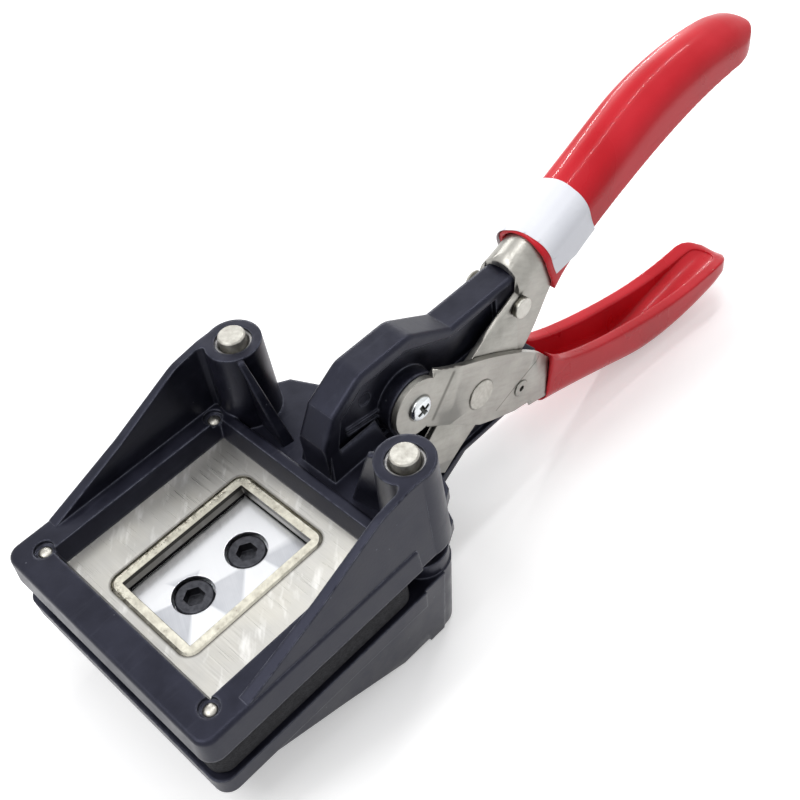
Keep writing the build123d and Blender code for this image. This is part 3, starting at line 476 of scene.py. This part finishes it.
zincLook = {"base": (0.62, 0.65, 0.67, 1), "pale": (0.82, 0.85, 0.86, 1), "line": (0.4, 0.44, 0.46, 1), "lineShare": 0.2,
            "patches": 500.0, "grain": 1800.0, "stretch": (700.0, 700.0, 700.0), "radius": 0.0002, "edgeShare": 0.5,
            "recess": (0.0, 0.0522, 0.0059), "recessTop": 0.00912, "recessFade": 0.0002, "recessReach": 0.0019,
            "recessColor": (0.07, 0.075, 0.07, 1),
            "roughLow": 0.1, "roughHigh": 0.22, "bumpStrength": 0.2, "bumpDepth": 0.00005}
brightZinc = plainMetal("brightZinc", zincLook)

springLook = {"base": (0.16, 0.16, 0.17, 1), "pale": (0.3, 0.3, 0.31, 1), "line": (0.08, 0.08, 0.08, 1), "lineShare": 0.3,
              "patches": 500.0, "grain": 2400.0, "stretch": (900.0, 900.0, 900.0), "radius": 0.0001, "edgeShare": 0.3,
              "roughLow": 0.28, "roughHigh": 0.42, "bumpStrength": 0.2, "bumpDepth": 0.00003}
springSteel = plainMetal("springSteel", springLook)

# foam: matt black with open pores that carry painted shade
foamLook = {"base": (0.009, 0.009, 0.011, 1), "pale": (0.03, 0.03, 0.034, 1),
            "skin": {"patches": 900.0, "grain": 2400.0, "softness": 0.7},
            "pores": {"density": 1500.0, "size": 0.34, "share": 0.75},
            "poreShadeShare": 0.8, "poreDepth": 0.7, "bumpStrength": 0.8, "bumpDepth": 0.00025,
            "shader": {"Roughness": 0.85, "Specular IOR Level": 0.3}}
blackFoam, tree, shader = newMaterial("blackFoam", foamLook)
skin = useGroup(tree, skinGroup, foamLook["skin"])
pores = useGroup(tree, specksGroup, foamLook["pores"])
color = blendColors(tree, skin["Tone"], foamLook["base"], foamLook["pale"])
# painted shade in the pores
color = layer(tree, color, pores["Mask"], foamLook["poreShadeShare"], foamLook["base"])
height = calc(tree, "SUBTRACT", skin["Height"], calc(tree, "MULTIPLY", pores["Mask"], foamLook["poreDepth"]))
feed(tree, shader, foamLook, color, height)

# dipped vinyl of the grips
vinylLook = {"base": (0.50, 0.009, 0.017, 1), "pale": (0.60, 0.02, 0.032, 1),
             "skin": {"patches": 70.0, "grain": 700.0, "softness": 0.4},
             "roughLow": 0.24, "roughHigh": 0.36, "bumpStrength": 0.12, "bumpDepth": 0.00008,
             "shader": {"IOR": 1.5, "Specular IOR Level": 0.1, "Coat Weight": 0.16, "Coat Roughness": 0.04}}
redVinyl, tree, shader = newMaterial("redVinyl", vinylLook)
skin = useGroup(tree, skinGroup, vinylLook["skin"])
color = blendColors(tree, skin["Tone"], vinylLook["base"], vinylLook["pale"])
feed(tree, shader, vinylLook, color, skin["Height"], skin["Tone"])

# white film of the band, faintly creased
filmLook = {"base": (0.80, 0.815, 0.87, 1), "shade": (0.62, 0.64, 0.72, 1), "shadeShare": 0.22, "skinHeight": 0.3,
            "skin": {"patches": 85.0, "grain": 1100.0, "softness": 0.5},
            "creases": {"stretch": (250.0, 60.0, 250.0), "turn": (0.35, 0.0, 0.0), "low": 0.55, "high": 0.75},
            "bumpStrength": 0.25, "bumpDepth": 0.0001, "shader": {"Roughness": 0.42}}
whiteFilm, tree, shader = newMaterial("whiteFilm", filmLook)
skin = useGroup(tree, skinGroup, filmLook["skin"])
creases = useGroup(tree, linesGroup, filmLook["creases"])
color = layer(tree, filmLook["base"], skin["Tone"], filmLook["shadeShare"], filmLook["shade"])
height = calc(tree, "ADD", calc(tree, "MULTIPLY", skin["Height"], filmLook["skinHeight"]), creases["Tone"])
feed(tree, shader, filmLook, color, height)

finishes = {"upper_jaw": blackPaint, "lower_jaw": blackPaint, "die_plate": groundSteel, "die_ring": ringSteel,
            "punch_block": punchSteel, "punch_screws": blackOxide, "foam_pad": blackFoam, "upper_handle": nickelSteel,
            "lower_handle": creasedSteel, "post_left": pinSteel, "post_right": pinSteel, "die_rivets": pinSteel,
            "main_pin": pinSteel, "slide_pin": nickelSteel, "stop_rivet": nickelSteel, "jaw_pivot_pin": nickelSteel,
            "pivot_spacer": pinSteel, "pivot_sleeve": pinSteel, "bush_left": bushSteel, "bush_right": bushSteel,
            "pivot_screw": brightZinc, "return_spring": springSteel, "upper_grip": redVinyl, "lower_grip": redVinyl,
            "size_label": whiteFilm}
for name, material in finishes.items():
    for slot in nodes[name].material_slots:
        slot.material = material
print("materials on", len(finishes), "nodes")


def addPiece(piece, material, body, slot, *replaced):
    piece.data.materials.clear()
    piece.data.materials.append(material)
    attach(piece, body)
    if replaced:
        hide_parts(*replaced)


def boxOf(node):
    # lowest and highest corner of a node, in millimetres
    low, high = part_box(node)
    return low / mm, high / mm


# ring with chamfered edges, so that a fine groove runs round it
ringShape = {"border": 2.5, "corner": 3.0, "chamfer": 0.62, "drop": 0.42, "holeCorner": 0.15, "holeChamfer": 0.1}
ringLow, ringHigh = boxOf("die_ring")
bm = bmesh.new()
halfX, halfY, corner, chamfer = ringHigh.x, ringHigh.y, ringShape["corner"], ringShape["chamfer"]
holeX, holeY = halfX - ringShape["border"], halfY - ringShape["border"]
holeCorner, holeChamfer = ringShape["holeCorner"], ringShape["holeChamfer"]
rings = [roundedLoop(halfX, halfY, corner, ringLow.z),
         roundedLoop(halfX, halfY, corner, -ringShape["drop"]),
         roundedLoop(halfX - chamfer, halfY - chamfer, corner - chamfer, 0),
         roundedLoop(holeX + holeChamfer, holeY + holeChamfer, holeCorner, 0),
         roundedLoop(holeX, holeY, holeCorner, -holeChamfer),
         roundedLoop(holeX, holeY, holeCorner, ringLow.z)]
skinRings(bm, rings + rings[:1], False)
addPiece(finishMesh("dieRingDetail", bm), ringSteel, "upper_jaw", "ring_brass", "die_ring")

# cross-headed screw of the open pivot: a domed head, cut by two crossed wedges
screwShape = {"centre": (52.2, 5.9), "start": 0.9, "shank": 2.0, "seat": 7.9, "head": 3.0, "rim": 0.35, "top": 9.3,
              "domeTurn": 80, "domeSteps": 10, "flatShare": 0.3, "crossTurns": (20, 110), "crossLength": 4.8,
              "crossWidth": 1.4, "deepLength": 0.35, "deepWidth": 0.45, "crossDepth": 1.15, "above": 0.5}
rimEnd = screwShape["seat"] + screwShape["rim"]
profile = [(screwShape["start"], screwShape["shank"]), (screwShape["seat"], screwShape["shank"]),
           (screwShape["seat"], screwShape["head"]), (rimEnd, screwShape["head"])]
fullTurn = math.radians(screwShape["domeTurn"])
for step in range(1, screwShape["domeSteps"] + 1):
    angle = step / screwShape["domeSteps"] * fullTurn
    share = screwShape["flatShare"] + (1 - screwShape["flatShare"]) * math.cos(angle)
    rise = math.sin(angle) / math.sin(fullTurn)
    profile.append((rimEnd + (screwShape["top"] - rimEnd) * rise, screwShape["head"] * share))
bm = bmesh.new()
latheAcross(bm, profile, screwShape["centre"])
screw = finishMesh("pivotScrewDetail", bm)
bm = bmesh.new()
for turn in screwShape["crossTurns"]:
    for vert in bmesh.ops.create_cube(bm, size=1.0)["verts"]:
        deep = vert.co.x < 0
        length = screwShape["crossLength"] * (screwShape["deepLength"] if deep else 1.0)
        width = screwShape["crossWidth"] * (screwShape["deepWidth"] if deep else 1.0)
        height = screwShape["top"] + (-screwShape["crossDepth"] if deep else screwShape["above"])
        spun = Matrix.Rotation(math.radians(turn), 3, "X") @ Vector((0, vert.co.y * length, vert.co.z * width))
        vert.co = Vector((height, spun.y + screwShape["centre"][0], spun.z + screwShape["centre"][1])) * mm
cutter = finishMesh("crossCutter", bm)
cut = screw.modifiers.new("cross", "BOOLEAN")
cut.object = cutter
cut.operation = "DIFFERENCE"
cut.solver = "EXACT"
cut.use_self = True
applyModifiers(screw)
bpy.data.objects.remove(cutter)
screw.data.set_sharp_from_angle(angle=math.radians(32))
addPiece(screw, brightZinc, "lower_handle", "bright_zinc", "pivot_screw")

# headed pin that stands out of the upper handle on both sides
slideShape = {"centre": (86.8, 8.4), "radius": 1.8, "plate": 6.0, "neck": 2.0, "neckEnd": 6.5, "head": 2.6, "top": 7.8,
              "edge": 0.22, "edgeSteps": 6}
outer = [(slideShape["plate"], slideShape["radius"]), (slideShape["plate"], slideShape["neck"]),
         (slideShape["neckEnd"], slideShape["neck"]), (slideShape["neckEnd"], slideShape["head"])]
for step in range(slideShape["edgeSteps"] + 1):
    angle = step / slideShape["edgeSteps"] * math.pi / 2
    outer.append((slideShape["top"] - slideShape["edge"] * (1 - math.sin(angle)),
                  slideShape["head"] - slideShape["edge"] * (1 - math.cos(angle))))
bm = bmesh.new()
latheAcross(bm, [(-x, r) for x, r in reversed(outer)] + outer, slideShape["centre"])
addPiece(finishMesh("slidePinDetail", bm), headSteel, "upper_handle", "pin_steel", "slide_pin")

# rivets of the plate with set, domed ends
rivetShape = {"places": [(x, y) for x in (-26.6, 26.6) for y in (-22.7, 22.5)], "radius": 1.5, "low": -3.0, "top": 4.2,
              "dome": 0.75, "domeTurn": 84, "domeSteps": 8}
profile = [(rivetShape["low"], rivetShape["radius"])]
for step in range(rivetShape["domeSteps"] + 1):
    angle = step / rivetShape["domeSteps"] * math.radians(rivetShape["domeTurn"])
    profile.append((rivetShape["top"] - rivetShape["dome"] * (1 - math.sin(angle)),
                    rivetShape["radius"] * math.cos(angle)))
bm = bmesh.new()
for centre in rivetShape["places"]:
    latheUp(bm, profile, centre)
addPiece(finishMesh("dieRivetsDetail", bm), pinSteel, "upper_jaw", "pin_steel", "die_rivets")

# foam with a soft upper edge and a slightly uneven skin
foamShape = {"inset": 0.1, "sink": 0.05, "corner": 3.6, "soft": 0.5, "footInset": 0.25, "layers": 5, "layer": 1.1,
             "softStart": 0.3, "hole": (11.45, 16.45), "holeCorner": 0.6, "cornerSteps": 12, "poreSize": 1.1,
             "unevenness": 0.09}
foamLow, foamHigh = boxOf("foam_pad")


def foamLoop(inset, z):
    halfX = foamHigh.x - foamShape["inset"] - inset
    halfY = (foamHigh.y - foamLow.y) / 2 - foamShape["inset"] - inset
    corner = foamShape["corner"] - inset / 2
    return roundedLoop(halfX, halfY, corner, z, foamShape["cornerSteps"], (foamLow.y + foamHigh.y) / 2)


def holeLoop(z):
    return roundedLoop(*foamShape["hole"], foamShape["holeCorner"], z, foamShape["cornerSteps"])


soft, top = foamShape["soft"], foamHigh.z - foamShape["sink"]
foot = foamLoop(foamShape["footInset"], foamLow.z)
foamRings = [foot] + [foamLoop(0, foamLow.z + soft + step * foamShape["layer"]) for step in range(foamShape["layers"])]
foamRings += [foamLoop(soft * foamShape["softStart"], top - soft * foamShape["softStart"]), foamLoop(soft, top),
              holeLoop(top), holeLoop(foamLow.z), foot]
bm = bmesh.new()
skinRings(bm, foamRings, False)
foam = finishMesh("foamPadSoft", bm, 60)
dense = foam.modifiers.new("dense", "SUBSURF")
dense.subdivision_type = "SIMPLE"
dense.levels = dense.render_levels = 2
rough = foam.modifiers.new("rough", "DISPLACE")
rough.texture = bpy.data.textures.new("foamPores", "CLOUDS")
rough.texture.noise_scale = foamShape["poreSize"] * mm
rough.strength = foamShape["unevenness"] * mm
rough.mid_level = 1.0
rough.texture_coords = "LOCAL"
applyModifiers(foam)
addPiece(foam, blackFoam, "lower_jaw", "foam", "foam_pad")
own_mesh(foam)

# return spring between the arms
spring = nodes["return_spring"].copy()
spring.data = nodes["return_spring"].data.copy()
spring.name = "returnSpringCoil"
for key in list(spring.keys()):
    if key.startswith("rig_"):
        del spring[key]
scene.collection.objects.link(spring)
addPiece(spring, springSteel, "lower_jaw", "spring_steel", "return_spring")
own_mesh(spring)

# pressed channels and dipped grips: the crest is drawn round, the tips are rounded off
# and the hollow runs out like a spoon
gripShape = {"middle": -6.1, "archHalf": {"channel": 6.02, "grip": 7.34, "label": 7.47}, "archLeft": 0.02, "flat": 2.6,
             "fadeTop": 4.5, "fadeDepth": 15.0, "fadeStart": 77.0, "fadeEnd": 84.0, "crestRun": (90, 175), "crestSlope": 2,
             "edgeRun": (99, 171), "edgeAside": 6.6, "rayOutside": 0.2, "rayInside": -0.006,
             "tipStart": 167.5, "tipEnd": 178.2, "tipMiddle": 38.2, "tipNarrow": 0.08, "tipRound": 0.8, "tipLeast": 0.02,
             "voxel": 0.42, "smoothing": 14, "spoonStart": 128.0, "spoonEnd": 174.0, "spoonLeft": 0.2,
             "hollowHalf": 4.4, "hollowDepth": 3.1, "slices": (0.8, 1.6, 2.4, 3.1, 3.8, 4.4, 4.9, 5.4, 5.75)}
labelShape = {"slant": 1.9, "width": 15.0, "slantRun": (98.0, 113.5), "heights": range(7, 22),
              "slices": (6.1, 6.4, 6.7, 6.9, 7.05, 7.2, 7.3, 7.38)}
graph = bpy.context.evaluated_depsgraph_get()
webs = {1: BVHTree.FromObject(nodes["upper_handle"], graph), -1: BVHTree.FromObject(nodes["lower_handle"], graph)}
coats = {1: BVHTree.FromObject(nodes["upper_grip"], graph), -1: BVHTree.FromObject(nodes["lower_grip"], graph)}


def ease(value, low, high):
    share = min(1.0, max(0.0, (value - low) / (high - low)))
    return share * share * (3 - 2 * share)


def heightOver(tree, side, x, y, fromOutside):
    # height over the middle plane at which a vertical ray meets the piece, in millimetres
    start = gripShape["rayOutside"] if fromOutside else gripShape["rayInside"]
    origin = Vector((x * mm, y * mm, gripShape["middle"] * mm + side * start))
    hit = tree.ray_cast(origin, Vector((0, 0, -side if fromOutside else side)))[0]
    return None if hit is None else side * (hit.z / mm - gripShape["middle"])


def stations(tree, side, x, run, fromOutside):
    # heights at every millimetre of a run; where the ray misses, the nearest one stands in
    heights = {step: heightOver(tree, side, x, step, fromOutside) for step in range(run[0], run[1] + 1)}
    known = [step for step in heights if heights[step] is not None]
    return {step: heights[min(known, key=lambda other: abs(other - step))] for step in heights}


def between(table, y):
    y = min(max(table) - 0.001, max(min(table), y))
    base = math.floor(y)
    return table[base] + (table[base + 1] - table[base]) * (y - base)


crests = {side: stations(webs[side], side, 0.01, gripShape["crestRun"], True) for side in (1, -1)}
openEdges = {side: stations(coats[side], side, gripShape["edgeAside"], gripShape["edgeRun"], False) for side in (1, -1)}


def reshape(point, side, kind):
    x, y, height = point.x / mm, point.y / mm, side * (point.z / mm - gripShape["middle"])
    half = gripShape["archHalf"][kind]
    corner = half - gripShape["flat"]
    crest = between(crests[side], y) + half - gripShape["archHalf"]["channel"]
    first, run = gripShape["crestRun"][0], gripShape["crestSlope"]
    if y < first:
        crest -= (crests[side][first + run] - crests[side][first]) / run * (first - y)
    edge = between(openEdges[side], y)
    hollow = kind == "grip" and y > gripShape["spoonStart"] and abs(x) < gripShape["hollowHalf"]
    if hollow and edge < height < crest - gripShape["hollowDepth"]:
        filled = (1 - gripShape["spoonLeft"]) * ease(y, gripShape["spoonStart"], gripShape["spoonEnd"])
        height = edge + (height - edge) * (1 - filled)
    across = min(abs(x), half - gripShape["archLeft"])
    old = corner - math.sqrt(corner ** 2 - max(0.0, min(across - gripShape["flat"], corner)) ** 2)
    new = half - math.sqrt(half ** 2 - across ** 2)
    fade = 1 - ease(crest - height, gripShape["fadeTop"], gripShape["fadeDepth"])
    height -= (new - old) * fade * ease(y, gripShape["fadeStart"], gripShape["fadeEnd"])
    run = (y - gripShape["tipStart"]) / (gripShape["tipEnd"] - gripShape["tipStart"])
    if run > 0:
        x *= 1 - gripShape["tipNarrow"] * ease(run, 0.0, gripShape["tipRound"])
        drawn = math.sqrt(max(gripShape["tipLeast"], 1 - run * run))
        height = gripShape["tipMiddle"] + (height - gripShape["tipMiddle"]) * drawn
    return Vector((x * mm, point.y, (side * height + gripShape["middle"]) * mm))


def meshOf(node):
    bm = bmesh.new()
    bm.from_mesh(nodes[node].data)
    bmesh.ops.remove_doubles(bm, verts=bm.verts, dist=1e-6)
    return bm


def bothHands(places):
    return [hand * place for place in places for hand in (-1, 1)]


for side, word, steel in ((1, "upper", nickelSteel), (-1, "lower", creasedSteel)):
    handle, grip = word + "_handle", word + "_grip"
    bm = meshOf(handle)
    sliceMesh(bm, bothHands(gripShape["slices"]), (1, 0, 0))
    for vert in bm.verts:
        vert.co = reshape(vert.co, side, "channel")
    addPiece(finishMesh(word + "Channel", bm, 35), steel, handle, "nickel_steel", handle)

    coat = finishMesh(word + "GripSoft", meshOf(grip))
    remesh = coat.modifiers.new("even", "REMESH")
    remesh.mode = "VOXEL"
    remesh.voxel_size = gripShape["voxel"] * mm
    applyModifiers(coat)
    for vert in coat.data.vertices:
        vert.co = reshape(vert.co, side, "grip")
    smoothing = coat.modifiers.new("smooth", "SMOOTH")
    smoothing.factor = 0.5
    smoothing.iterations = gripShape["smoothing"]
    applyModifiers(coat)
    coat.data.shade_smooth()
    addPiece(coat, redVinyl, handle, "red_vinyl", grip)

# the band's front edge slants: on the left it lies over the lip of the grip
bm = meshOf("size_label")
sliceMesh(bm, bothHands(gripShape["slices"] + labelShape["slices"]), (1, 0, 0))
sliceMesh(bm, labelShape["heights"], (0, 0, 1))
for vert in bm.verts:
    x, y = vert.co.x / mm, vert.co.y / mm
    slant = labelShape["slant"] * (0.5 - x / labelShape["width"]) * (1 - ease(y, *labelShape["slantRun"]))
    vert.co.y -= slant * mm
    vert.co.z += (between(crests[1], y - slant) - between(crests[1], y)) * mm
    vert.co = reshape(vert.co, 1, "label")
addPiece(finishMesh("sizeLabelWrap", bm, 40), whiteFilm, "upper_handle", "label_film", "size_label")
print("grips drawn")

# ribs that brace the bosses of both castings, each given at its foot and at its top
ribShape = {"boss": (25.4, 32.1), "root": 3.9, "bevel": 0.4, "thick": (1.5, 0.75),
            "upper_jaw": {"heights": (0.4, 21.6), "reach": (15.4, 7.5), "turn": (9, 27)},
            "lower_jaw": {"heights": (-12.6, -31.6), "reach": (11.5, 6.0), "turn": (14, 25)}}
for body in ("upper_jaw", "lower_jaw"):
    rib = ribShape[body]
    for hand, word in ((-1, "Left"), (1, "Right")):
        centre = Vector((hand * ribShape["boss"][0], ribShape["boss"][1], 0))
        loops = []
        for height, out, turn, thick in zip(rib["heights"], rib["reach"], rib["turn"], ribShape["thick"]):
            aim = Vector((-hand * math.cos(math.radians(turn)), -math.sin(math.radians(turn)), 0))
            square = Vector((-aim.y, aim.x, 0)) * thick
            inner, outer = centre + aim * ribShape["root"], centre + aim * out
            corners = (inner + square, outer + square, outer - square, inner - square)
            loops.append([(corner.x * mm, corner.y * mm, height * mm) for corner in corners])
        bm = bmesh.new()
        skinRings(bm, loops)
        gusset = finishMesh(body.split("_")[0] + "Gusset" + word, bm, 40)
        bevel = gusset.modifiers.new("bevel", "BEVEL")
        bevel.width = ribShape["bevel"] * mm
        bevel.segments = 3
        applyModifiers(gusset)
        addPiece(gusset, blackPaint, body, "black_paint")
print("pieces built")


def seenRays(tree):
    # 1 for what the camera, gloss and clear pieces see, and 0 for what lights the object
    paths = addNode(tree, "ShaderNodeLightPath").outputs
    cameraOrGloss = calc(tree, "MAXIMUM", paths["Is Camera Ray"], paths["Is Glossy Ray"])
    return calc(tree, "MAXIMUM", cameraOrGloss, paths["Is Transmission Ray"])


# floor: it passes under the boss ends and the lower grip, where the tool comes to rest
floorLook = {"reach": 0.45, "middleY": 0.08, "foot": (0, 0.0274, -0.0321), "gap": 0.0003, "segments": 96,
             "lift": 0.36, "farLift": 0.75, "liftRun": (0.2, 0.42),
             "shader": {"Roughness": 0.9, "Specular IOR Level": 0.0, "Base Color": (0.86, 0.86, 0.865, 1),
                        "Emission Color": (1, 1, 1, 1)}}
foot = Vector(floorLook["foot"])
slope = min((v.co.z - foot.z) / (v.co.y - foot.y) for v in nodes["lower_grip"].data.vertices)
bm = bmesh.new()
bmesh.ops.create_circle(bm, cap_ends=True, segments=floorLook["segments"], radius=floorLook["reach"])
for vert in bm.verts:
    y = vert.co.y + floorLook["middleY"]
    vert.co = Vector((vert.co.x, y, foot.z + slope * (y - foot.y) - floorLook["gap"]))
floor = finishMesh("floor", bm)
floorPaint, tree, shader = newMaterial("floorPaint", floorLook)
outward = vectorCalc(tree, "LENGTH", objectPlace(tree))
lift = spread(tree, outward, *floorLook["liftRun"], floorLook["lift"], floorLook["farLift"])
tree.links.new(calc(tree, "MULTIPLY", seenRays(tree), lift), shader.inputs["Emission Strength"])
floor.data.materials.append(floorPaint)

# white surround for the camera and for gloss, and a plainer level for the rest
worldLook = {"seen": 1.0, "plain": 0.52}
world = bpy.data.worlds.new("surround")
world.use_nodes = True
scene.world = world
tree = world.node_tree
tree.nodes.clear()
level = spread(tree, seenRays(tree), 0.0, 1.0, worldLook["plain"], worldLook["seen"])
shade = addNode(tree, "ShaderNodeBackground", {"Color": (1, 1, 1, 1), "Strength": level})
addNode(tree, "ShaderNodeOutputWorld", {"Surface": shade.outputs[0]})

# one soft lamp in front, and two narrow strips that draw the light lines on the grips
lamps = {"soft": {"place": (-0.12, -0.30, 0.62), "aim": (0, 0.06, 0), "along": (0, 1, 0), "size": (0.4, 0.4), "power": 2.2},
         "stripLeft": {"place": (-0.466, 0.36, 0.195), "aim": (0, 0.14, 0.03), "along": (0.15, 0.35, -0.26),
                       "size": (0.008, 0.56), "power": 1.1},
         "stripTop": {"place": (-0.122, 0.30, 0.55), "aim": (0, 0.14, 0.03), "along": (-0.05, 0.55, -0.31),
                      "size": (0.008, 0.64), "power": 1.3}}
for name, lamp in lamps.items():
    light = bpy.data.lights.new(name, "AREA")
    light.shape = "RECTANGLE"
    light.size, light.size_y = lamp["size"]
    light.energy = lamp["power"]
    holder = bpy.data.objects.new(name, light)
    scene.collection.objects.link(holder)
    away = (Vector(lamp["place"]) - Vector(lamp["aim"])).normalized()
    along = Vector(lamp["along"])
    along = (along - away * along.dot(away)).normalized()
    turned = Matrix((along.cross(away), along, away)).transposed().to_4x4()
    holder.matrix_world = Matrix.Translation(lamp["place"]) @ turned

# camera at the photograph's place
cameraLook = {"place": (0.13798, -0.05670, 0.19697), "right": (0.71232, 0.69287, -0.1119),
              "down": (0.46715, -0.58705, -0.66117), "ahead": (-0.5238, 0.4187, -0.74184),
              "lens": 54.0, "sensor": 36.0, "nearest": 0.005}
camera = bpy.data.objects.new("camera", bpy.data.cameras.new("camera"))
camera.data.lens = cameraLook["lens"]
camera.data.sensor_width = cameraLook["sensor"]
camera.data.clip_start = cameraLook["nearest"]
scene.collection.objects.link(camera)
axes = Matrix((cameraLook["right"], [-v for v in cameraLook["down"]], [-v for v in cameraLook["ahead"]])).transposed()
camera.matrix_world = Matrix.Translation(cameraLook["place"]) @ axes.to_4x4()
scene.camera = camera
scene.view_settings.view_transform = "Standard"
print("light and camera set")
